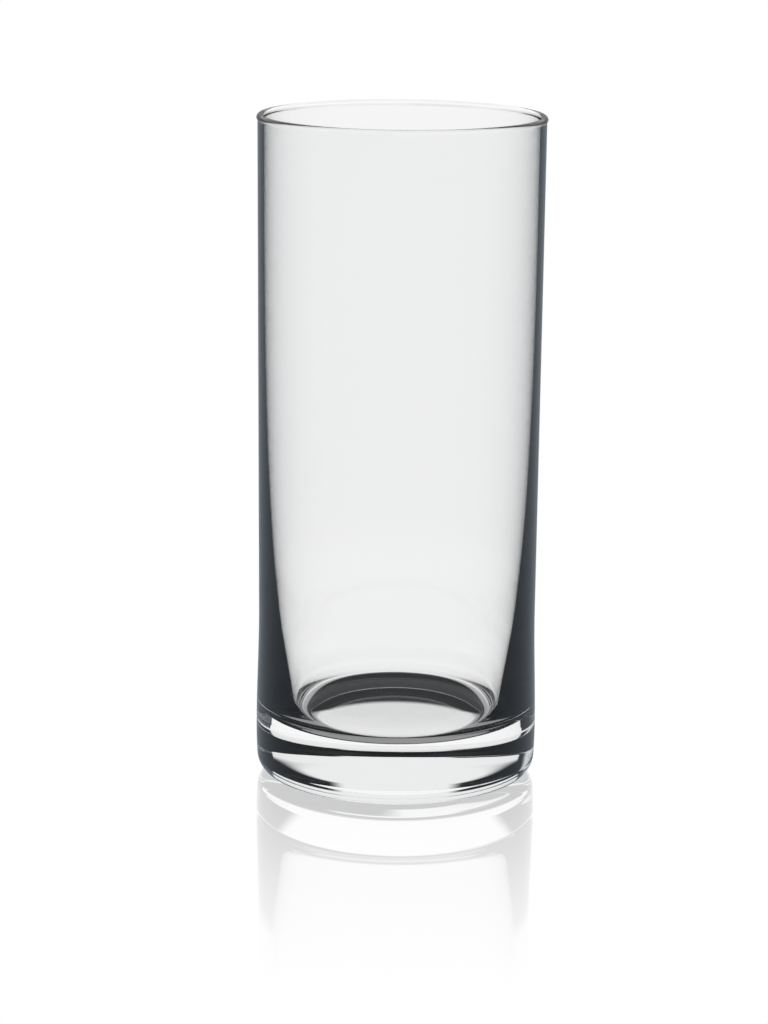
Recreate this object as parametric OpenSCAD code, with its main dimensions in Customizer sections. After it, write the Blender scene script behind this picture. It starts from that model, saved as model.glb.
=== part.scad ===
// Highball glass: a tall plain tumbler, blown thin at the rim and left thick and heavy at the base.
// The glass is turned about the Z axis; the origin is the middle of the ring it stands on, and Z points up.
// Lengths are in millimetres and angles in degrees.

/* [Whole glass] */

// Height from the table to the top of the rim
glass_height = 150; // [110:1:190]

/* [Rim] */

// Diameter over the rounded bead of the rim, which every other width follows
rim_diameter = 64.2; // [54:0.1:84]

// How far the bead stands out beyond the wall below it
bead_overhang = 0.25; // [0.1:0.05:0.6]

// Height of the rim, from the wall below to the top of the bead
rim_height = 1.5; // [1.2:0.1:4]

/* [Wall] */

// Thickness of the wall just below the rim
wall_thickness = 1.45; // [1:0.05:2.2]

// How far the outside draws in from the top of the wall to the waist, on each side
wall_taper = 0.5; // [0:0.05:1.5]

// Height of the waist, the narrowest part of the wall, above the table
waist_height = 37.5; // [31:0.5:60]

/* [Base] */

// How far the base swells out beyond the waist, on each side
base_swell = 0.52; // [0.1:0.02:1.5]

// Height of the swell, the widest part of the base, above the table
swell_height = 10.4; // [7:0.1:16]

// Radius of the rounded heel between the side and the underside
heel_radius = 4.3; // [1:0.1:6]

// Slant of the side where it meets the heel
heel_lean = 3.5; // [1:0.5:10]

// Width of the flat ring that the glass stands on
foot_ring_width = 0.8; // [0.4:0.1:4]

// Height of the hollow under the base at its middle
punt_height = 2; // [0.5:0.1:4]

// Flatness of the hollow's crown, 2 for a plain dome and more for a flatter one
punt_flatness = 7; // [2:0.1:8]

/* [Inside] */

// Thickness of glass from the table up to the edge of the inside floor
floor_height = 13; // [8:0.1:15]

// Rise of the inside floor from its edge to its middle
floor_rise = 0.1; // [0:0.1:1.5]

// Width of the rounded inside corner, from the edge of the floor out to the wall
corner_width = 4.8; // [2:0.1:8]

// Height of the top of the rounded inside corner, where the base ends and the wall begins
corner_height = 20.5; // [18:0.5:30]

// Thickness of the wall at the top of the rounded inside corner
corner_thickness = 6.4; // [4.5:0.1:9]

// Slant of the inside of the wall where it meets the corner
corner_lean = 8; // [6:0.5:18]

/* [Hidden] */

// Outside radii, each from the one above it
rim_r = rim_diameter / 2;
wall_top_r = rim_r - bead_overhang;
waist_r = wall_top_r - wall_taper;
base_r = waist_r + base_swell;

// Height at which the wall ends and the rim begins
wall_top = glass_height - rim_height;

// Bead of the rim, a round that is flush with the wall on the inside
mouth_r = wall_top_r - wall_thickness;
bead_r = (rim_r - mouth_r) / 2;
bead_centre = [rim_r - bead_r, glass_height - bead_r];
flare_height = bead_centre.y - wall_top;

// Heel: the round starts where its slant equals that of the side above it
heel_top = heel_radius * (1 - sin(heel_lean));
heel_top_r = base_r - (swell_height - heel_top) * tan(heel_lean) / 2;
heel_centre = [heel_top_r - heel_radius * cos(heel_lean), heel_radius];

// Hollow inside the ring
punt_r = heel_centre.x - foot_ring_width;

// Inside corner and floor
corner_r = outer_r(corner_height) - corner_thickness;
floor_r = corner_r - corner_width;

// Reach of the curve handles along the inside, as shares of the stretch that they shape
mouth_reach_share = 0.62;
wall_reach_share = 0.2;
corner_reach_share = 0.6;
floor_reach_share = 0.6;

// Steps along each curve
curve_steps = 24;
round_steps = 12;

// Facets of the turned shapes, enough to be taken as round
$fn = 96;

// Ease from 0 to 1 with level ends
function ease(t) = (1 - cos(180 * t)) / 2;

// Outside radius at a height between the heel and the rim
function outer_r(z) =
    z >= waist_height ? waist_r + wall_taper * (z - waist_height) / (wall_top - waist_height) :
    z >= swell_height ? waist_r + base_swell * ease((waist_height - z) / (waist_height - swell_height)) :
    base_r - (base_r - heel_top_r) * pow((swell_height - z) / (swell_height - heel_top), 2);

// Points of a stretch of the outside, from one height to another
function outer_points(from, to) =
    [for (i = [0 : curve_steps]) let (z = from + (to - from) * i / curve_steps) [outer_r(z), z]];

// Points of a round about a centre, from one angle to another
function round_points(centre, radius, from, to) =
    [for (i = [0 : round_steps])
        let (a = from + (to - from) * i / round_steps)
        centre + radius * [cos(a), sin(a)]];

// Point on a curve with two ends and two handles
function curve_point(a, b, c, d, t) =
    pow(1 - t, 3) * a + 3 * pow(1 - t, 2) * t * b + 3 * (1 - t) * t * t * c + pow(t, 3) * d;

// Points along such a curve, from one end to the other
function curve_points(a, b, c, d) =
    [for (i = [0 : curve_steps]) curve_point(a, b, c, d, i / curve_steps)];

// Flare from the wall out to the bead, level with both at its ends
flare_points =
    [for (i = [0 : round_steps - 1])
        let (t = i / round_steps)
        [wall_top_r + bead_overhang * ease(t), wall_top + flare_height * t]];

// Hollow under the base, from its middle out to the ring, in finer steps towards the ring
punt_points =
    [for (i = [0 : curve_steps])
        let (t = sin(90 * i / curve_steps))
        [punt_r * t, punt_height * (1 - pow(t, punt_flatness))]];

// Inside of the wall, from the mouth down to the top of the inside corner
mouth_end = [mouth_r, wall_top];
corner_end = [corner_r, corner_height];
wall_drop = wall_top - corner_height;
mouth_handle = mouth_end - [0, wall_drop * mouth_reach_share];
wall_handle = corner_end + wall_drop * wall_reach_share * [tan(corner_lean), 1];

// Inside corner, from the wall round to the floor
floor_end = [floor_r, floor_height];
corner_drop = corner_height - floor_height;
corner_handle = corner_end - corner_drop * corner_reach_share * [tan(corner_lean), 1];
floor_handle = floor_end + [corner_width * floor_reach_share, 0];

// Inside floor, a slight dome from its edge in to its middle
floor_points =
    [for (i = [1 : round_steps])
        let (t = 1 - i / round_steps)
        [floor_r * t, floor_height + floor_rise * (1 - t * t)]];

// The rim: a bead a little wider than the wall, rounded over the top
module rim() {
    color([0.86, 0.9, 0.92, 0.35])
    rotate_extrude()
    polygon(concat([mouth_end], flare_points, round_points(bead_centre, bead_r, 0, 180)));
}

// The wall: a round tube, nearly straight outside and thickening downwards on the inside
module wall() {
    color([0.86, 0.9, 0.92, 0.35])
    rotate_extrude()
    polygon(concat(
        outer_points(corner_height, waist_height),
        [[wall_top_r, wall_top]],
        curve_points(mouth_end, mouth_handle, wall_handle, corner_end)));
}

// The base: a thick disc with a swelling side, a rounded heel, a hollow underside and a rounded corner inside
module base() {
    color([0.86, 0.9, 0.92, 0.35])
    rotate_extrude()
    polygon(concat(
        punt_points,
        round_points(heel_centre, heel_radius, -90, -heel_lean),
        outer_points(heel_top, swell_height),
        outer_points(swell_height, corner_height),
        curve_points(corner_end, corner_handle, floor_handle, floor_end),
        floor_points));
}

rim();
wall();
base();
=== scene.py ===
"""Dresses the highball glass: turned glass skins, their finishes, and a bright table studio."""
import logging
import math
from dataclasses import dataclass, field
from enum import Enum
from typing import Callable, Sequence

import bpy
from mathutils import Matrix, Vector


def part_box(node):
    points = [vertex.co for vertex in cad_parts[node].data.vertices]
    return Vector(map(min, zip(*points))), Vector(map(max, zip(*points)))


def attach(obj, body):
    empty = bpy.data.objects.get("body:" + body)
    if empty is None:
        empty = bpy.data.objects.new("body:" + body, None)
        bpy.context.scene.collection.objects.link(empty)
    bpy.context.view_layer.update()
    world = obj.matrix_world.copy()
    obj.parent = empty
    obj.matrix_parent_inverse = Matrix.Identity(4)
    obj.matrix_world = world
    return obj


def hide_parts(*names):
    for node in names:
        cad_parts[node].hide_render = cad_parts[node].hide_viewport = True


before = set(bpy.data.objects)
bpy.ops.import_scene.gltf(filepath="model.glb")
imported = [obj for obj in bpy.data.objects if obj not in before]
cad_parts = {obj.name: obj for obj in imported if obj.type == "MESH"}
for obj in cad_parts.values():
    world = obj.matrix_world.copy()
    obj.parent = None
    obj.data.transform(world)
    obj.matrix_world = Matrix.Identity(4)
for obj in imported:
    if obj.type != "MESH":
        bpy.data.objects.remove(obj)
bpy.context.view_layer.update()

LOG = logging.getLogger("highball_glass")
MM = 0.001
DEGREE = math.pi / 180
Point = tuple[float, float]
Colour = tuple[float, float, float, float]
Socket = bpy.types.NodeSocket
WHITE: Colour = (1.0, 1.0, 1.0, 1.0)


class Face(Enum):
    """What a stretch of an outline is once it is turned."""

    SKIN = 0
    JOINT = 1


class Route(Enum):
    """How light has come before it meets the studio."""

    PAST = "not through the glass"
    STRAIGHT = "through the hollow of the glass, unturned"
    SOLID = "through solid glass, unturned"
    TURNED = "turned inside solid glass"
    ECHOED = "turned in the hollow of the glass"


class Change(Enum):
    """How a level changes between two values, by Blender's names."""

    EASED = "SMOOTHSTEP"
    EVEN = "LINEAR"


@dataclass(frozen=True)
class GlassSizes:
    """Named sizes of the glass, the same as the CAD model's, in millimetres and degrees."""

    glass_height: float = 150.0
    rim_diameter: float = 64.2
    bead_overhang: float = 0.25
    rim_height: float = 1.5
    wall_thickness: float = 1.45
    wall_taper: float = 0.5
    waist_height: float = 37.5
    base_swell: float = 0.52
    swell_height: float = 10.4
    heel_radius: float = 4.3
    heel_lean: float = 3.5
    foot_ring_width: float = 0.8
    punt_height: float = 2.0
    punt_flatness: float = 7.0
    floor_height: float = 13.0
    floor_rise: float = 0.1
    corner_width: float = 4.8
    corner_height: float = 20.5
    corner_thickness: float = 6.4
    corner_lean: float = 8.0
    mouth_reach_share: float = 0.62
    wall_reach_share: float = 0.2
    corner_reach_share: float = 0.6
    floor_reach_share: float = 0.6

    @property
    def rim_r(self) -> float:
        """Radius over the bead of the rim."""
        return self.rim_diameter / 2

    @property
    def wall_top_r(self) -> float:
        """Outside radius of the wall just below the rim."""
        return self.rim_r - self.bead_overhang

    @property
    def waist_r(self) -> float:
        """Outside radius at the waist."""
        return self.wall_top_r - self.wall_taper

    @property
    def base_r(self) -> float:
        """Outside radius at the swell of the base."""
        return self.waist_r + self.base_swell

    @property
    def mouth_r(self) -> float:
        """Inside radius of the mouth."""
        return self.wall_top_r - self.wall_thickness

    @property
    def wall_top(self) -> float:
        """Height at which the wall ends and the rim begins."""
        return self.glass_height - self.rim_height

    @property
    def bead_r(self) -> float:
        """Radius of the bead's own round."""
        return (self.rim_r - self.mouth_r) / 2

    @property
    def heel_top(self) -> float:
        """Height at which the round of the heel meets the side."""
        return self.heel_radius * (1 - math.sin(math.radians(self.heel_lean)))

    @property
    def heel_top_r(self) -> float:
        """Outside radius at the top of the heel."""
        lean = math.tan(math.radians(self.heel_lean))
        return self.base_r - (self.swell_height - self.heel_top) * lean / 2

    @property
    def heel_centre_r(self) -> float:
        """Distance of the heel's round from the axis, which is the outer edge of the foot ring."""
        return self.heel_top_r - self.heel_radius * math.cos(math.radians(self.heel_lean))

    @property
    def punt_r(self) -> float:
        """Radius of the hollow inside the foot ring."""
        return self.heel_centre_r - self.foot_ring_width

    @property
    def corner_r(self) -> float:
        """Inside radius at the top of the rounded inside corner."""
        return self.outer_r(self.corner_height) - self.corner_thickness

    @property
    def floor_r(self) -> float:
        """Radius of the inside floor."""
        return self.corner_r - self.corner_width

    def outer_r(self, z: float) -> float:
        """Gives the outside radius at a height.

        Args:
            z: Height between the heel and the rim.

        Returns:
            The radius there.
        """
        if z >= self.waist_height:
            up = (z - self.waist_height) / (self.wall_top - self.waist_height)
            return self.waist_r + self.wall_taper * up
        if z >= self.swell_height:
            down = (self.waist_height - z) / (self.waist_height - self.swell_height)
            return self.waist_r + self.base_swell * ease(down)
        drop = (self.swell_height - z) / (self.swell_height - self.heel_top)
        return self.base_r - (self.base_r - self.heel_top_r) * drop**2


def ease(t: float) -> float:
    """Goes from 0 to 1 with level ends."""
    return (1 - math.cos(math.pi * t)) / 2


def line(a: Point, b: Point) -> Callable[[float], Point]:
    """Gives the straight stretch from one point to another."""
    return lambda t: (a[0] + (b[0] - a[0]) * t, a[1] + (b[1] - a[1]) * t)


def arc(centre: Point, radius: float, start: float, end: float) -> Callable[[float], Point]:
    """Gives the round stretch about a centre between two angles.

    Args:
        centre: Middle of the round.
        radius: Radius of the round.
        start: Angle at which it starts, in degrees.
        end: Angle at which it ends, in degrees.

    Returns:
        The curve, from 0 to 1.
    """

    def point(t: float) -> Point:
        """Gives the point at t."""
        a = math.radians(start + (end - start) * t)
        return centre[0] + radius * math.cos(a), centre[1] + radius * math.sin(a)

    return point


def handled(a: Point, b: Point, c: Point, d: Point) -> Callable[[float], Point]:
    """Gives the curve between two ends with two handles.

    Args:
        a: First end.
        b: Handle of the first end.
        c: Handle of the last end.
        d: Last end.

    Returns:
        The curve, from 0 to 1.
    """

    def point(t: float) -> Point:
        """Gives the point at t."""
        shares = ((1 - t) ** 3, 3 * (1 - t) * (1 - t) * t, 3 * (1 - t) * t * t, t**3)
        return tuple(sum(share * end[i] for share, end in zip(shares, (a, b, c, d))) for i in (0, 1))

    return point


def hollow(radius: float, height: float, flatness: float) -> Callable[[float], Point]:
    """Gives the hollow under the base, from its middle out to its edge.

    Args:
        radius: Radius of the hollow's edge.
        height: Height of its middle above its edge.
        flatness: Power by which it falls away, 2 for a plain dome and more for a flatter crown.

    Returns:
        The curve, from 0 to 1.
    """

    def point(t: float) -> Point:
        """Gives the point at t, in finer steps towards the edge."""
        share = math.sin(math.pi / 2 * t)
        return radius * share, height * (1 - share**flatness)

    return point


def dome(radius: float, edge: float, rise: float) -> Callable[[float], Point]:
    """Gives the slight dome of the inside floor, from its edge in to its middle.

    Args:
        radius: Radius of the dome's edge.
        edge: Height of its edge.
        rise: Rise from the edge to the middle.

    Returns:
        The curve, from 0 to 1.
    """
    return lambda t: (radius * (1 - t), edge + rise * (1 - (1 - t) ** 2))


@dataclass(frozen=True)
class Stretch:
    """A smooth stretch of a piece's outline, run so that the glass lies on its left."""

    curve: Callable[[float], Point]
    steps: int
    face: Face = Face.SKIN

    def points(self) -> list[Point]:
        """Gives the points along the stretch, both ends included."""
        return [self.curve(i / self.steps) for i in range(self.steps + 1)]

    def normals(self) -> list[Point]:
        """Gives the outward normal at each point.

        Returns:
            The normals, each as its parts away from the axis and up.
        """
        nudge = 1e-4
        found = []
        for i in range(self.steps + 1):
            t = i / self.steps
            a = self.curve(max(t - nudge, 0.0))
            b = self.curve(min(t + nudge, 1.0))
            dr, dz = b[0] - a[0], b[1] - a[1]
            size = math.hypot(dr, dz)
            found.append((dz / size, -dr / size))
        return found


@dataclass
class TurnedMesh:
    """Turns an outline about the axis into one closed mesh with exact normals."""

    name: str
    stretches: Sequence[Stretch]
    facets: int = 192

    def __post_init__(self) -> None:
        """Sets up the empty lists that the mesh is made from."""
        self.vertices: list[tuple[float, float, float]] = []
        self.faces: list[tuple[int, ...]] = []
        self.normals: list[tuple[float, float, float]] = []
        self.kinds: list[int] = []
        self.rings: dict[Point, list[int]] = {}

    def around(self, j: int) -> Point:
        """Gives the direction of a facet's edge, seen from above."""
        a = math.tau * (j % self.facets) / self.facets
        return math.cos(a), math.sin(a)

    def ring(self, point: Point) -> list[int]:
        """Gives the vertices of the ring that a point sweeps, which is one vertex on the axis.

        Args:
            point: Radius and height in millimetres.

        Returns:
            The vertices' numbers, one for each facet.
        """
        r, z = point
        key = (round(r, 6), round(z, 6))
        if key not in self.rings:
            first = len(self.vertices)
            if key[0] == 0:
                self.vertices.append((0.0, 0.0, z * MM))
                self.rings[key] = [first] * self.facets
            else:
                for j in range(self.facets):
                    x, y = self.around(j)
                    self.vertices.append((r * x * MM, r * y * MM, z * MM))
                self.rings[key] = list(range(first, first + self.facets))
        return self.rings[key]

    def add(self, stretch: Stretch) -> None:
        """Adds the faces that one stretch sweeps.

        Args:
            stretch: The stretch.
        """
        points, normals = stretch.points(), stretch.normals()
        for i in range(stretch.steps):
            low, high = self.ring(points[i]), self.ring(points[i + 1])
            for j in range(self.facets):
                k = (j + 1) % self.facets
                corners = [(low[j], i, j), (low[k], i, k), (high[k], i + 1, k), (high[j], i + 1, j)]
                if low[j] == low[k]:
                    corners.pop(0)
                if high[j] == high[k]:
                    corners.pop()
                self.faces.append(tuple(corner[0] for corner in corners))
                self.kinds.append(stretch.face.value)
                for _, row, facet in corners:
                    x, y = self.around(facet)
                    outward, upward = normals[row]
                    self.normals.append((outward * x, outward * y, upward))

    def make(self) -> bpy.types.Object:
        """Makes the object, closed and with its normals set.

        Returns:
            The new object, linked to the scene.
        """
        for stretch in self.stretches:
            self.add(stretch)
        mesh = bpy.data.meshes.new(self.name)
        mesh.from_pydata(self.vertices, [], self.faces)
        mesh.polygons.foreach_set("material_index", self.kinds)
        mesh.polygons.foreach_set("use_smooth", [True] * len(self.faces))
        mesh.normals_split_custom_set(self.normals)
        mesh.update()
        piece = bpy.data.objects.new(self.name, mesh)
        bpy.context.scene.collection.objects.link(piece)
        return piece


class Wires:
    """Places nodes in a node tree and joins them, so that a formula reads in one line."""

    def __init__(self, tree: bpy.types.NodeTree) -> None:
        """Keeps the tree.

        Args:
            tree: Tree that the nodes go in.
        """
        self.tree = tree

    def node(self, kind: str, **settings: object) -> bpy.types.Node:
        """Adds a node.

        Args:
            kind: Blender's name for the kind of node.
            settings: Attributes to set on it.

        Returns:
            The node.
        """
        made = self.tree.nodes.new(kind)
        for name, value in settings.items():
            setattr(made, name, value)
        return made

    def put(self, socket: Socket, value: object) -> None:
        """Joins an output to a socket, or sets the socket's own value.

        Args:
            socket: Socket that takes the value.
            value: Output to join, or a plain value to set.
        """
        if isinstance(value, Socket):
            self.tree.links.new(value, socket)
        else:
            socket.default_value = value

    def math(self, operation: str, *values: object) -> Socket:
        """Gives the result of one operation on numbers.

        Args:
            operation: Name of the operation.
            values: Outputs or plain numbers, in the order of the node's sockets.

        Returns:
            The output with the result.
        """
        made = self.node("ShaderNodeMath", operation=operation)
        for socket, value in zip(made.inputs, values):
            self.put(socket, value)
        return made.outputs[0]

    def fade(
        self,
        value: object,
        start: float,
        end: float,
        first: float = 0.0,
        last: float = 1.0,
        change: Change = Change.EASED,
    ) -> Socket:
        """Gives a number that goes from one level to another as a value goes from start to end.

        Args:
            value: Output that is read.
            start: Value at which the change starts.
            end: Value at which it ends.
            first: Level before the start.
            last: Level after the end.
            change: How it changes between them.

        Returns:
            The output with the level.
        """
        made = self.node("ShaderNodeMapRange", interpolation_type=change.value)
        levels = {"Value": value, "From Min": start, "From Max": end, "To Min": first, "To Max": last}
        for name, level in levels.items():
            self.put(made.inputs[name], level)
        return made.outputs["Result"]

    def at_least(self, value: Socket, count: int) -> Socket:
        """Gives 1 where a whole number is at least a count, and 0 elsewhere."""
        return self.math("GREATER_THAN", value, count - 0.5)

    def fewer(self, value: Socket, count: int) -> Socket:
        """Gives 1 where a whole number is less than a count, and 0 elsewhere."""
        return self.math("LESS_THAN", value, count - 0.5)

    def distance(self, x: Socket, y: Socket) -> Socket:
        """Gives the distance that two lengths at right angles make."""
        squares = self.math("ADD", self.math("MULTIPLY", x, x), self.math("MULTIPLY", y, y))
        return self.math("SQRT", squares)

    def most(self, values: Sequence[Socket]) -> Socket:
        """Gives the largest of several numbers.

        Args:
            values: Outputs that are compared.

        Returns:
            The output with the largest.
        """
        found = values[0]
        for value in values[1:]:
            found = self.math("MAXIMUM", found, value)
        return found


def new_group(
    name: str,
    inputs: dict[str, tuple[str, object]],
    outputs: dict[str, str],
) -> tuple[Wires, bpy.types.Node, bpy.types.Node]:
    """Starts a shader node group with named sockets.

    Args:
        name: Name of the group.
        inputs: Socket type and default of each input.
        outputs: Socket type of each output.

    Returns:
        The group's wires, its input node and its output node.
    """
    tree = bpy.data.node_groups.new(name, "ShaderNodeTree")
    for label, (kind, value) in inputs.items():
        socket = tree.interface.new_socket(label, in_out="INPUT", socket_type=kind)
        socket.default_value = value
    for label, kind in outputs.items():
        tree.interface.new_socket(label, in_out="OUTPUT", socket_type=kind)
    wires = Wires(tree)
    return wires, wires.node("NodeGroupInput"), wires.node("NodeGroupOutput")


def ripple_group() -> bpy.types.NodeTree:
    """Makes the slow ripple that blown glass keeps, as a height.

    Returns:
        The node group.
    """
    name = "blown_ripple"
    if name in bpy.data.node_groups:
        return bpy.data.node_groups[name]
    number = "NodeSocketFloat"
    smooth_detail = 1.0
    wires, given, out = new_group(
        name,
        {"Per Metre": (number, 60.0), "Upright": (number, 0.5)},
        {"Height": number},
    )
    place = wires.node("ShaderNodeTexCoord")
    parts = wires.node("ShaderNodeSeparateXYZ")
    wires.put(parts.inputs[0], place.outputs["Object"])
    drawn = wires.node("ShaderNodeCombineXYZ")
    wires.put(drawn.inputs["X"], parts.outputs["X"])
    wires.put(drawn.inputs["Y"], parts.outputs["Y"])
    wires.put(drawn.inputs["Z"], wires.math("MULTIPLY", parts.outputs["Z"], given.outputs["Upright"]))
    noise = wires.node("ShaderNodeTexNoise")
    wires.put(noise.inputs["Vector"], drawn.outputs[0])
    wires.put(noise.inputs["Scale"], given.outputs["Per Metre"])
    wires.put(noise.inputs["Detail"], smooth_detail)
    wires.put(out.inputs["Height"], noise.outputs[0])
    return wires.tree


def marks_group() -> bpy.types.NodeTree:
    """Makes the faint marks that handling and washing leave, as a roughness.

    Returns:
        The node group.
    """
    name = "handling_marks"
    if name in bpy.data.node_groups:
        return bpy.data.node_groups[name]
    number = "NodeSocketFloat"
    patch_detail, patch_start, patch_end = 4.0, 0.58, 0.8
    worn_height = 0.15
    wires, given, out = new_group(
        name,
        {"Marked": (number, 0.02), "Per Metre": (number, 90.0), "Foot": (number, 0.0)},
        {"Roughness": number},
    )
    place = wires.node("ShaderNodeTexCoord")
    patches = wires.node("ShaderNodeTexNoise")
    wires.put(patches.inputs["Vector"], place.outputs["Object"])
    wires.put(patches.inputs["Scale"], given.outputs["Per Metre"])
    wires.put(patches.inputs["Detail"], patch_detail)
    patch = wires.fade(patches.outputs[0], patch_start, patch_end)
    parts = wires.node("ShaderNodeSeparateXYZ")
    wires.put(parts.inputs[0], place.outputs["Object"])
    low = wires.fade(parts.outputs["Z"], 0.0, worn_height * MM, 1.0, 0.0)
    worn = wires.math("MULTIPLY", low, given.outputs["Foot"])
    rough = wires.math("MULTIPLY_ADD", patch, given.outputs["Marked"], worn)
    wires.put(out.inputs["Roughness"], rough)
    return wires.tree


def depth_group() -> bpy.types.NodeTree:
    """Makes the faint drift in the colour of the glass from place to place, between clear and deep.

    Returns:
        The node group.
    """
    name = "glass_depth"
    if name in bpy.data.node_groups:
        return bpy.data.node_groups[name]
    colour = "NodeSocketColor"
    drift_start, drift_end = 0.3, 0.7
    wires, given, out = new_group(
        name,
        {"Clear": (colour, WHITE), "Deep": (colour, WHITE), "Per Metre": ("NodeSocketFloat", 25.0)},
        {"Color": colour},
    )
    place = wires.node("ShaderNodeTexCoord")
    noise = wires.node("ShaderNodeTexNoise")
    wires.put(noise.inputs["Vector"], place.outputs["Object"])
    wires.put(noise.inputs["Scale"], given.outputs["Per Metre"])
    mix = wires.node("ShaderNodeMix", data_type="RGBA")
    wires.put(mix.inputs["Factor"], wires.fade(noise.outputs[0], drift_start, drift_end))
    wires.put(mix.inputs["A"], given.outputs["Clear"])
    wires.put(mix.inputs["B"], given.outputs["Deep"])
    wires.put(out.inputs["Color"], mix.outputs["Result"])
    return wires.tree


@dataclass(frozen=True)
class GlassFinish:
    """Clear soda-lime glass, with what forming and use have left on it."""

    name: str
    clear: Colour = WHITE
    deep: Colour = (0.994, 0.997, 0.998, 1.0)
    depth_per_metre: float = 25.0
    ripple_height: float = 0.002
    ripple_per_metre: float = 60.0
    ripple_upright: float = 0.5
    marked: float = 0.012
    marks_per_metre: float = 90.0
    foot_wear: float = 0.0
    bend: float = 1.52

    def material(self) -> bpy.types.Material:
        """Makes the material.

        Returns:
            The new material.
        """
        made = bpy.data.materials.new(self.name)
        made.use_nodes = True
        wires = Wires(made.node_tree)
        glass = made.node_tree.nodes["Principled BSDF"]
        glass.inputs["IOR"].default_value = self.bend
        glass.inputs["Transmission Weight"].default_value = 1.0
        depth = wires.node("ShaderNodeGroup", node_tree=depth_group())
        wires.put(depth.inputs["Clear"], self.clear)
        wires.put(depth.inputs["Deep"], self.deep)
        wires.put(depth.inputs["Per Metre"], self.depth_per_metre)
        wires.put(glass.inputs["Base Color"], depth.outputs["Color"])
        marks = wires.node("ShaderNodeGroup", node_tree=marks_group())
        wires.put(marks.inputs["Marked"], self.marked)
        wires.put(marks.inputs["Per Metre"], self.marks_per_metre)
        wires.put(marks.inputs["Foot"], self.foot_wear)
        wires.put(glass.inputs["Roughness"], marks.outputs["Roughness"])
        ripple = wires.node("ShaderNodeGroup", node_tree=ripple_group())
        wires.put(ripple.inputs["Per Metre"], self.ripple_per_metre)
        wires.put(ripple.inputs["Upright"], self.ripple_upright)
        bump = wires.node("ShaderNodeBump")
        wires.put(bump.inputs["Strength"], 1.0)
        wires.put(bump.inputs["Distance"], self.ripple_height * MM)
        wires.put(bump.inputs["Height"], ripple.outputs["Height"])
        wires.put(glass.inputs["Normal"], bump.outputs["Normal"])
        return made


@dataclass(frozen=True)
class JointFinish:
    """The level plane inside the glass where two pieces are one body, so that nothing shows there."""

    name: str = "joint_inside_glass"

    def material(self) -> bpy.types.Material:
        """Makes the material, or gives the one already made.

        Returns:
            The material.
        """
        if self.name in bpy.data.materials:
            return bpy.data.materials[self.name]
        made = bpy.data.materials.new(self.name)
        made.use_nodes = True
        made.node_tree.nodes["Principled BSDF"].inputs["Alpha"].default_value = 0.0
        return made


@dataclass
class GlassPart:
    """One sub-assembly of the glass, which stands for the CAD node of the same form."""

    node: str
    name: str
    finish: GlassFinish
    sizes: GlassSizes = field(default_factory=GlassSizes)
    joint_steps: int = 2

    def joint(self, a: Point, b: Point) -> Stretch:
        """Gives the level plane where this piece meets the next."""
        return Stretch(line(a, b), self.joint_steps, Face.JOINT)

    def outside(self, low: float, high: float, steps: int) -> Stretch:
        """Gives a stretch of the outside between two heights.

        Args:
            low: Height at which it starts.
            high: Height at which it ends.
            steps: Steps along it.

        Returns:
            The stretch.
        """
        sizes = self.sizes
        return Stretch(lambda t: (sizes.outer_r(low + (high - low) * t), low + (high - low) * t), steps)

    def stretches(self) -> list[Stretch]:
        """Gives the outline that is turned, which each part has of its own."""
        raise NotImplementedError

    def build(self) -> bpy.types.Object:
        """Turns the outline, and puts the piece in the place of its node.

        Returns:
            The piece.
        """
        piece = TurnedMesh(self.name, self.stretches()).make()
        low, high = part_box(self.node)
        edges = [v.co.z for v in piece.data.vertices]
        off = max(abs(min(edges) - low[2]), abs(max(edges) - high[2])) / MM
        LOG.info("%s: %d faces, %.3f mm off its node's height", self.name, len(piece.data.polygons), off)
        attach(piece, "root")
        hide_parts(self.node)
        return piece

    def dress(self, piece: bpy.types.Object) -> None:
        """Gives the piece its glass and the planes inside the glass theirs."""
        piece.data.materials.append(self.finish.material())
        piece.data.materials.append(JointFinish().material())


@dataclass
class Rim(GlassPart):
    """The fire-polished bead round the mouth."""

    node: str = "rim"
    name: str = "glass_rim"
    finish: GlassFinish = GlassFinish("fire_polished_glass", ripple_height=0.0005)
    flare_steps: int = 8
    bead_steps: int = 24
    lip_steps: int = 4

    def stretches(self) -> list[Stretch]:
        """Gives the bead's outline.

        Returns:
            Its stretches in order.
        """
        sizes = self.sizes
        centre = (sizes.rim_r - sizes.bead_r, sizes.glass_height - sizes.bead_r)
        flare = centre[1] - sizes.wall_top
        return [
            self.joint((sizes.mouth_r, sizes.wall_top), (sizes.wall_top_r, sizes.wall_top)),
            Stretch(
                lambda t: (sizes.wall_top_r + sizes.bead_overhang * ease(t), sizes.wall_top + flare * t),
                self.flare_steps,
            ),
            Stretch(arc(centre, sizes.bead_r, 0, 180), self.bead_steps),
            Stretch(line((sizes.mouth_r, centre[1]), (sizes.mouth_r, sizes.wall_top)), self.lip_steps),
        ]


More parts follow.
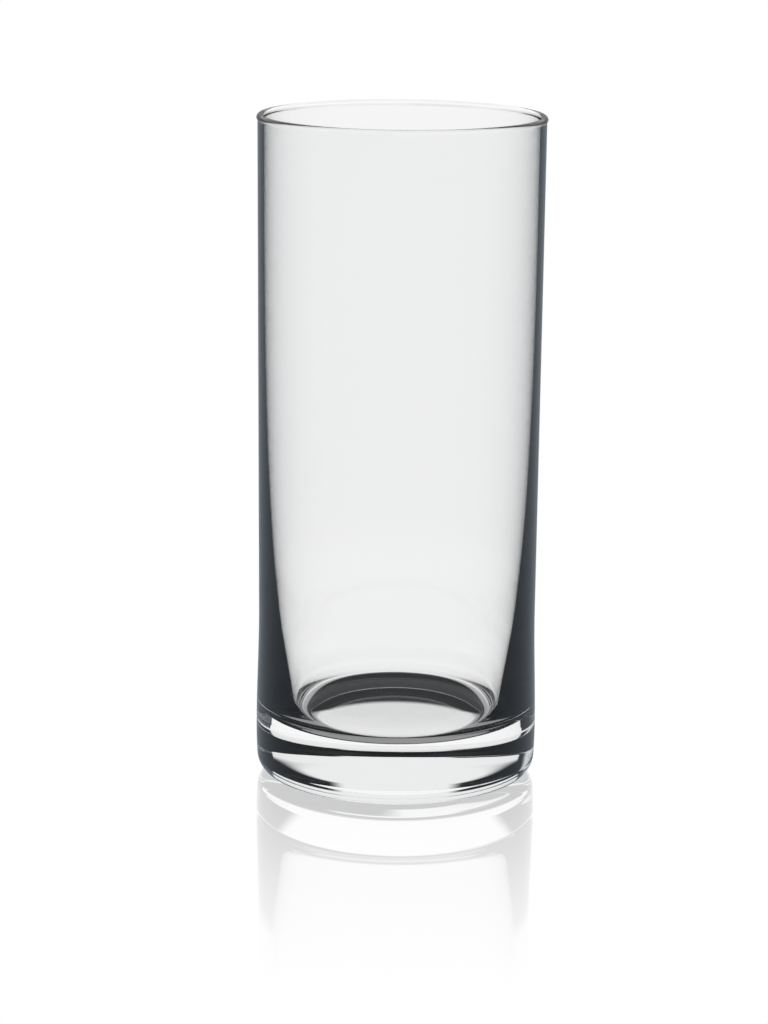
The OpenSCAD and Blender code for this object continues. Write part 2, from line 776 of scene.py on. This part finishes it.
@dataclass
class Wall(GlassPart):
    """The tall wall, nearly straight outside and thickening downwards inside."""

    node: str = "wall"
    name: str = "glass_wall"
    finish: GlassFinish = GlassFinish("blown_wall_glass")
    waist_steps: int = 16
    side_steps: int = 24
    inside_steps: int = 64

    def stretches(self) -> list[Stretch]:
        """Gives the wall's outline.

        Returns:
            Its stretches in order.
        """
        sizes = self.sizes
        mouth, corner = (sizes.mouth_r, sizes.wall_top), (sizes.corner_r, sizes.corner_height)
        drop = sizes.wall_top - sizes.corner_height
        lean = math.tan(math.radians(sizes.corner_lean))
        reach = drop * sizes.wall_reach_share
        return [
            self.joint(corner, (sizes.outer_r(sizes.corner_height), sizes.corner_height)),
            self.outside(sizes.corner_height, sizes.waist_height, self.waist_steps),
            self.outside(sizes.waist_height, sizes.wall_top, self.side_steps),
            self.joint((sizes.wall_top_r, sizes.wall_top), mouth),
            Stretch(
                handled(
                    mouth,
                    (sizes.mouth_r, sizes.wall_top - drop * sizes.mouth_reach_share),
                    (sizes.corner_r + reach * lean, sizes.corner_height + reach),
                    corner,
                ),
                self.inside_steps,
            ),
        ]


@dataclass
class Base(GlassPart):
    """The heavy base, with its swell, heel, foot ring, hollow underside and rounded inside corner."""

    node: str = "base"
    name: str = "glass_base"
    finish: GlassFinish = GlassFinish("heavy_base_glass", foot_wear=0.2)
    hollow_steps: int = 40
    ring_steps: int = 2
    heel_steps: int = 24
    low_side_steps: int = 16
    swell_steps: int = 10
    corner_steps: int = 48
    floor_steps: int = 24

    def stretches(self) -> list[Stretch]:
        """Gives the base's outline, from the middle of the underside to the middle of the floor.

        Returns:
            Its stretches in order.
        """
        sizes = self.sizes
        corner, floor = (sizes.corner_r, sizes.corner_height), (sizes.floor_r, sizes.floor_height)
        reach = (sizes.corner_height - sizes.floor_height) * sizes.corner_reach_share
        lean = math.tan(math.radians(sizes.corner_lean))
        return [
            Stretch(hollow(sizes.punt_r, sizes.punt_height, sizes.punt_flatness), self.hollow_steps),
            Stretch(line((sizes.punt_r, 0.0), (sizes.heel_centre_r, 0.0)), self.ring_steps),
            Stretch(
                arc((sizes.heel_centre_r, sizes.heel_radius), sizes.heel_radius, -90, -sizes.heel_lean),
                self.heel_steps,
            ),
            self.outside(sizes.heel_top, sizes.swell_height, self.low_side_steps),
            self.outside(sizes.swell_height, sizes.corner_height, self.swell_steps),
            self.joint((sizes.outer_r(sizes.corner_height), sizes.corner_height), corner),
            Stretch(
                handled(
                    corner,
                    (sizes.corner_r - reach * lean, sizes.corner_height - reach),
                    (sizes.floor_r + sizes.corner_width * sizes.floor_reach_share, sizes.floor_height),
                    floor,
                ),
                self.corner_steps,
            ),
            Stretch(dome(sizes.floor_r, sizes.floor_height, sizes.floor_rise), self.floor_steps),
        ]


@dataclass(frozen=True)
class Edge:
    """A soft edge in the studio: where it starts and how wide it is, in millimetres or degrees."""

    start: float
    width: float

    def fade(
        self,
        wires: Wires,
        value: Socket,
        unit: float,
        first: float = 0.0,
        last: float = 1.0,
    ) -> Socket:
        """Gives a number that eases from one level to another across the edge.

        Args:
            wires: Where the nodes go.
            value: Output that is read.
            unit: What one of the edge's units is in the output's own.
            first: Level before the edge.
            last: Level past it.

        Returns:
            The output with the level.
        """
        return wires.fade(value, self.start * unit, (self.start + self.width) * unit, first, last)


@dataclass(frozen=True)
class Panel:
    """A lit panel of the studio, by the directions in which it is seen from the glass, in degrees."""

    azimuth: float
    side: Edge
    bottom: Edge = Edge(-5.0, 3.0)
    top: Edge = Edge(60.0, 15.0)
    droop: float = 0.0
    level: float = 0.9

    def light(self, wires: Wires, azimuth: Socket, height: Socket) -> Socket:
        """Gives the light of the panel in a direction.

        Args:
            wires: Where the nodes go.
            azimuth: Direction seen from above, in radians.
            height: Direction above the level, in radians.

        Returns:
            The output with the brightness.
        """
        turned = wires.math("SUBTRACT", azimuth, self.azimuth * DEGREE)
        off = wires.math("ABSOLUTE", wires.math("WRAP", turned, math.pi, -math.pi))
        across = self.side.fade(wires, off, DEGREE, self.level, 0.0)
        raised = wires.math("MULTIPLY_ADD", off, self.droop, height)
        below_top = self.top.fade(wires, raised, DEGREE, 1.0, 0.0)
        between = wires.math("MULTIPLY", self.bottom.fade(wires, height, DEGREE), below_top)
        return wires.math("MULTIPLY", across, between)


@dataclass(frozen=True)
class Shade:
    """A painted shadow on the table: the dark crescent under the back of the glass, between two rounds,
    in millimetres.
    """

    outer_middle: float = 7.5
    outer_radius: float = 24.0
    inner_middle: float = -18.0
    inner_radius: float = 32.0
    edge: float = 1.2
    level: float = 0.02

    def inside(self, wires: Wires, x: Socket, y: Socket, middle: float, radius: float) -> Socket:
        """Gives 1 inside a round on the table and 0 outside it.

        Args:
            wires: Where the nodes go.
            x: Distance to the right of the glass.
            y: Distance behind the glass.
            middle: How far behind the glass the round's middle lies.
            radius: Radius of the round.

        Returns:
            The output with the mask.
        """
        off = wires.distance(x, wires.math("SUBTRACT", y, middle * MM))
        return Edge(radius - self.edge, 2 * self.edge).fade(wires, off, MM, 1.0, 0.0)

    def light(self, wires: Wires, x: Socket, y: Socket) -> Socket:
        """Gives the share of light that the painted crescent shadow leaves.

        Args:
            wires: Where the nodes go.
            x: Distance to the right of the glass.
            y: Distance behind the glass.

        Returns:
            The output with the share.
        """
        outer = self.inside(wires, x, y, self.outer_middle, self.outer_radius)
        inner = self.inside(wires, x, y, self.inner_middle, self.inner_radius)
        shaded = wires.math("MULTIPLY", outer, wires.math("SUBTRACT", 1.0, inner))
        return wires.math("MULTIPLY_ADD", shaded, self.level - 1.0, 1.0)


@dataclass(frozen=True)
class Studio:
    """The white table and surroundings, and the lit panels that the glass is seen against.

    Places on the table are in millimetres from the axis of the glass, directions in degrees, and levels
    in shares of white.
    """

    dark: float = 0.004
    lit: float = 1.0
    hollow_skins: int = 4
    most_turns: int = 2
    # Share of white seen in the glass's skin at low angles; on the table it is a painted reflection,
    # tinted blue
    skin_shine: float = 0.35
    painted_reflection_tint: Colour = (0.87, 0.99, 1.12, 1.0)
    shine_top: Edge = Edge(30.0, 15.0)
    shine_bottom: Edge = Edge(8.0, 8.0)
    turned_bottom: Edge = Edge(4.0, 4.0)
    panels: tuple[Panel, ...] = (
        Panel(0.0, Edge(51.0, 2.0), top=Edge(19.2, 1.5), droop=0.06),
        Panel(0.0, Edge(14.5, 6.5), top=Edge(27.0, 6.0)),
        Panel(-45.0, Edge(40.0, 12.0), bottom=Edge(27.0, 2.0)),
        Panel(-90.0, Edge(25.0, 8.0)),
        Panel(135.0, Edge(45.0, 12.0)),
    )
    # Painted shadow on the table under the back of the glass, for light through the hollow
    shade: Shade = Shade()
    # Painted shade: the table under the foot ring is dimmed for light through the hollow
    foot_shade_inside: Edge = Edge(20.0, 2.0)
    foot_shade_outside: Edge = Edge(31.0, 2.0)
    foot_shade_level: float = 0.5
    # Painted shadow on the table close behind the glass, for light through solid glass; the table is lit
    # beyond these edges
    painted_shadow_back: Edge = Edge(34.3, 0.6)
    painted_shadow_slant: float = 0.78
    painted_shadow_side: Edge = Edge(50.0, 10.0)
    painted_shadow_reach: Edge = Edge(60.0, 15.0)
    # Painted light: a lit lane on the table behind the glass and a dim level under it, for light turned
    # in solid glass
    painted_lane: Edge = Edge(5.5, 3.5)
    under_reach: float = 28.0
    turned_under_painted_light: float = 0.3
    echo: float = 0.05
    # Painted light on the table near the glass for light turned in the hollow, fading further away
    echo_near_painted_light: float = 0.6
    echo_reach: Edge = Edge(60.0, 60.0)
    films: int = 3
    film_gap: float = 0.004
    mirror: float = 0.4
    mirror_start: float = 33.0
    mirror_end: float = 140.0
    table_radius: float = 6000.0
    table_drop: float = 0.02
    table_ring_shares: tuple[float, ...] = (0.05, 0.2, 1.0)
    table_spokes: int = 48

    def routes(self, wires: Wires) -> dict[Route, Socket]:
        """Gives a mask for each way in which light has come.

        Args:
            wires: Where the nodes go.

        Returns:
            The outputs with the masks: one is 1 and the others 0, or all are 0 after many turns.
        """
        path = wires.node("ShaderNodeLightPath")
        # Light mirrored in the table crosses each film twice, and light that ends on the table once
        skins = path.outputs["Transmission Depth"]
        mirrored = wires.at_least(path.outputs["Transparent Depth"], 2 * self.films)
        turns = wires.math("SUBTRACT", path.outputs["Glossy Depth"], mirrored)
        through = wires.at_least(skins, 1)
        hollow_too = wires.at_least(skins, self.hollow_skins)
        unturned = wires.fewer(turns, 1)
        straight = wires.math("MULTIPLY", hollow_too, unturned)
        solid_only = wires.math("SUBTRACT", through, hollow_too)
        solid = wires.math("MULTIPLY", solid_only, unturned)
        few = wires.fewer(turns, self.most_turns + 1)
        return {
            Route.PAST: wires.math("SUBTRACT", 1.0, through),
            Route.STRAIGHT: straight,
            Route.SOLID: solid,
            Route.TURNED: wires.math("MULTIPLY", few, wires.math("SUBTRACT", solid_only, solid)),
            Route.ECHOED: wires.math("SUBTRACT", hollow_too, straight),
        }

    def by_route(self, wires: Wires, routes: dict[Route, Socket], levels: dict[Route, object]) -> Socket:
        """Gives the brightness of the route by which the light has come.

        Args:
            wires: Where the nodes go.
            routes: Mask of each route.
            levels: Brightness of each route.

        Returns:
            The output with the brightness.
        """
        total: object = 0.0
        for route, mask in routes.items():
            total = wires.math("MULTIPLY_ADD", mask, levels[route], total)
        return total

    def level(self, wires: Wires, mask: object) -> Socket:
        """Gives the brightness between dark and lit for a mask."""
        return wires.math("MULTIPLY_ADD", mask, self.lit - self.dark, self.dark)

    def surround(self) -> None:
        """Makes the world: white to look at, and lit panels in the dark when seen through the glass."""
        world = bpy.data.worlds.new("studio")
        bpy.context.scene.world = world
        world.use_nodes = True
        wires = Wires(world.node_tree)
        way = wires.node("ShaderNodeTexCoord")
        parts = wires.node("ShaderNodeSeparateXYZ")
        wires.put(parts.inputs[0], way.outputs["Generated"])
        azimuth = wires.math("ARCTAN2", parts.outputs["X"], parts.outputs["Y"])
        height = wires.math("ARCSINE", parts.outputs["Z"])
        panels = wires.most([panel.light(wires, azimuth, height) for panel in self.panels])
        lit = self.level(wires, panels)
        path = wires.node("ShaderNodeLightPath")
        mirrored = wires.at_least(path.outputs["Transparent Depth"], self.films)
        below = self.shine_top.fade(wires, height, DEGREE, 1.0, 0.0)
        above = self.shine_bottom.fade(wires, height, DEGREE, self.skin_shine, 1.0)
        shine = wires.math("MULTIPLY", below, above)
        levels = {
            Route.PAST: wires.most([path.outputs["Is Camera Ray"], mirrored, shine]),
            Route.STRAIGHT: self.lit,
            Route.SOLID: lit,
            Route.TURNED: wires.math("MULTIPLY", lit, self.turned_bottom.fade(wires, height, DEGREE)),
            Route.ECHOED: self.echo,
        }
        background = world.node_tree.nodes["Background"]
        background.inputs["Color"].default_value = WHITE
        wires.put(background.inputs["Strength"], self.by_route(wires, self.routes(wires), levels))

    def table_top(self) -> None:
        """Makes the glossy white table that the glass stands on, and the clear films just above it."""
        reach, drop = self.table_radius * MM, -self.table_drop * MM
        shares, spokes = self.table_ring_shares, self.table_spokes
        vertices = [(0.0, 0.0, drop)]
        for share in shares:
            for j in range(spokes):
                a = math.tau * j / spokes
                vertices.append((reach * share * math.cos(a), reach * share * math.sin(a), drop))
        faces = [(0, 1 + j, 1 + (j + 1) % spokes) for j in range(spokes)]
        for k in range(len(shares) - 1):
            for j in range(spokes):
                a, b = 1 + k * spokes + j, 1 + k * spokes + (j + 1) % spokes
                faces.append((a, a + spokes, b + spokes, b))
        for film in range(self.films + 1):
            lift = film * self.film_gap * MM
            name = f"table_film_{film}" if film else "table_top"
            mesh = bpy.data.meshes.new(name)
            mesh.from_pydata([(x, y, z + lift) for x, y, z in vertices], [], faces)
            table = bpy.data.objects.new(name, mesh)
            bpy.context.scene.collection.objects.link(table)
            mesh.materials.append(self.film_finish() if film else self.table_finish())

    def film_finish(self) -> bpy.types.Material:
        """Makes the clear film over the table, by which mirrored light is told from other light.

        Returns:
            The material, made once.
        """
        name = "clear_table_film"
        if name in bpy.data.materials:
            return bpy.data.materials[name]
        made = bpy.data.materials.new(name)
        made.use_nodes = True
        tree = made.node_tree
        tree.nodes.remove(tree.nodes["Principled BSDF"])
        wires = Wires(tree)
        clear = wires.node("ShaderNodeBsdfTransparent")
        wires.put(tree.nodes["Material Output"].inputs["Surface"], clear.outputs[0])
        return made

    def table_levels(self, wires: Wires, x: Socket, y: Socket, away: Socket) -> dict[Route, object]:
        """Gives the painted light and shade of the table, for light that has met the glass.

        Args:
            wires: Where the nodes go.
            x: Distance to the right of the glass.
            y: Distance behind the glass.
            away: Distance from the glass's axis.

        Returns:
            The brightness for each route.
        """
        # Painted shade under the foot ring, with the painted crescent shadow, for light through the
        # hollow
        past_inside = self.foot_shade_inside.fade(wires, away, MM)
        foot = wires.math("MULTIPLY", past_inside, self.foot_shade_outside.fade(wires, away, MM, 1.0, 0.0))
        under = wires.math("MULTIPLY_ADD", foot, self.foot_shade_level - 1.0, 1.0)
        # Painted shadow: the table is dark close behind the glass for light through solid glass, and lit
        # beyond it
        sideways = wires.math("ABSOLUTE", x)
        behind = wires.math("MULTIPLY_ADD", sideways, -self.painted_shadow_slant, y)
        turned = wires.math("ABSOLUTE", wires.math("ARCTAN2", x, y))
        beyond_painted_shadow = wires.most(
            [
                self.painted_shadow_back.fade(wires, behind, MM),
                self.painted_shadow_side.fade(wires, turned, DEGREE),
                self.painted_shadow_reach.fade(wires, away, MM),
            ]
        )
        # Painted light on the table for light turned in solid glass: a lit lane behind the glass and a
        # dim level under it
        across_painted_lane = self.painted_lane.fade(wires, sideways, MM, 1.0, 0.0)
        painted_lane = wires.math("MULTIPLY", across_painted_lane, wires.math("GREATER_THAN", y, 0.0))
        below = wires.math("LESS_THAN", away, self.under_reach * MM)
        under_glass_painted_light = wires.math("MULTIPLY", below, self.turned_under_painted_light)
        return {
            # Painted reflection: the table seen in the glass's skin is dimmed
            Route.PAST: self.skin_shine,
            Route.STRAIGHT: wires.math("MULTIPLY", under, self.shade.light(wires, x, y)),
            Route.SOLID: self.level(wires, beyond_painted_shadow),
            Route.TURNED: wires.math("MAXIMUM", self.level(wires, painted_lane), under_glass_painted_light),
            # Painted light: the table is brighter near the glass for light turned in the hollow
            Route.ECHOED: self.echo_reach.fade(wires, away, MM, self.echo_near_painted_light, self.echo),
        }

    def table_finish(self) -> bpy.types.Material:
        """Makes the table's finish: white with a fading mirror image, and painted light and shade by
        place behind glass.

        Returns:
            The new material.
        """
        made = bpy.data.materials.new("glossy_white_table")
        made.use_nodes = True
        tree = made.node_tree
        tree.nodes.remove(tree.nodes["Principled BSDF"])
        wires = Wires(tree)
        place = wires.node("ShaderNodeNewGeometry")
        parts = wires.node("ShaderNodeSeparateXYZ")
        wires.put(parts.inputs[0], place.outputs["Position"])
        x, y = parts.outputs["X"], parts.outputs["Y"]
        away = wires.distance(x, y)
        routes = self.routes(wires)
        levels = self.table_levels(wires, x, y, away)
        # Painted light and shade of the table where it is seen through or in the glass
        through = wires.node("ShaderNodeEmission")
        wires.put(through.inputs["Strength"], self.by_route(wires, routes, levels))
        # Painted reflection tint: the table seen in the glass's skin is tinted blue
        painted_reflection_mix = wires.node("ShaderNodeMix", data_type="RGBA")
        wires.put(painted_reflection_mix.inputs["Factor"], routes[Route.PAST])
        wires.put(painted_reflection_mix.inputs["A"], WHITE)
        wires.put(painted_reflection_mix.inputs["B"], self.painted_reflection_tint)
        wires.put(through.inputs["Color"], painted_reflection_mix.outputs["Result"])
        white = wires.node("ShaderNodeEmission")
        shine = wires.node("ShaderNodeBsdfGlossy")
        wires.put(shine.inputs["Roughness"], 0.0)
        wires.put(shine.inputs["Color"], WHITE)
        seen = wires.node("ShaderNodeMixShader")
        start, end = self.mirror_start * MM, self.mirror_end * MM
        wires.put(seen.inputs[0], wires.fade(away, start, end, self.mirror, 0.0, Change.EVEN))
        wires.put(seen.inputs[1], white.outputs[0])
        wires.put(seen.inputs[2], shine.outputs[0])
        path = wires.node("ShaderNodeLightPath")
        both = wires.node("ShaderNodeMixShader")
        wires.put(both.inputs[0], path.outputs["Is Camera Ray"])
        wires.put(both.inputs[1], through.outputs[0])
        wires.put(both.inputs[2], seen.outputs[0])
        wires.put(tree.nodes["Material Output"].inputs["Surface"], both.outputs[0])
        return made


@dataclass(frozen=True)
class PhotoCamera:
    """The camera, where the photograph was taken from, in millimetres and degrees."""

    sideways: float = -3.16
    back: float = 718.1
    height: float = 227.4
    pitch: float = 13.109
    roll: float = 0.583
    lens: float = 114.71
    sensor: float = 36.0
    near: float = 10.0
    far: float = 100000.0

    def make(self) -> None:
        """Makes the camera and looks through it."""
        data = bpy.data.cameras.new("photo_camera")
        data.lens = self.lens
        data.sensor_width = self.sensor
        data.dof.use_dof = False
        data.clip_start = self.near * MM
        data.clip_end = self.far * MM
        camera = bpy.data.objects.new("photo_camera", data)
        bpy.context.scene.collection.objects.link(camera)
        place = Vector((self.sideways, -self.back, self.height)) * MM
        tilt = Matrix.Rotation(math.radians(90 - self.pitch), 4, "X")
        turn = Matrix.Rotation(math.radians(self.roll), 4, "Z")
        camera.matrix_world = Matrix.Translation(place) @ tilt @ turn
        bpy.context.scene.camera = camera


@dataclass(frozen=True)
class LightPaths:
    """How often light may turn on its way, which thick glass needs many times."""

    least_turns: int = 24
    least_films: int = 24
    most_turns: int = 40
    most_mirrored: int = 32
    most_bent: int = 40
    most_films: int = 64

    def set(self) -> None:
        """Sets the counts and the plain view on the scene."""
        scene = bpy.context.scene
        scene.view_settings.view_transform = "Standard"
        scene.cycles.min_light_bounces = self.least_turns
        scene.cycles.min_transparent_bounces = self.least_films
        scene.cycles.max_bounces = self.most_turns
        scene.cycles.glossy_bounces = self.most_mirrored
        scene.cycles.transmission_bounces = self.most_bent
        scene.cycles.transparent_max_bounces = self.most_films


def main() -> None:
    """Builds the glass and its studio in order."""
    logging.basicConfig(level=logging.INFO, format="%(message)s")
    LightPaths().set()
    for part in (Rim(), Wall(), Base()):
        part.dress(part.build())
    studio = Studio()
    studio.surround()
    studio.table_top()
    PhotoCamera().make()


if __name__ == "__main__":
    main()
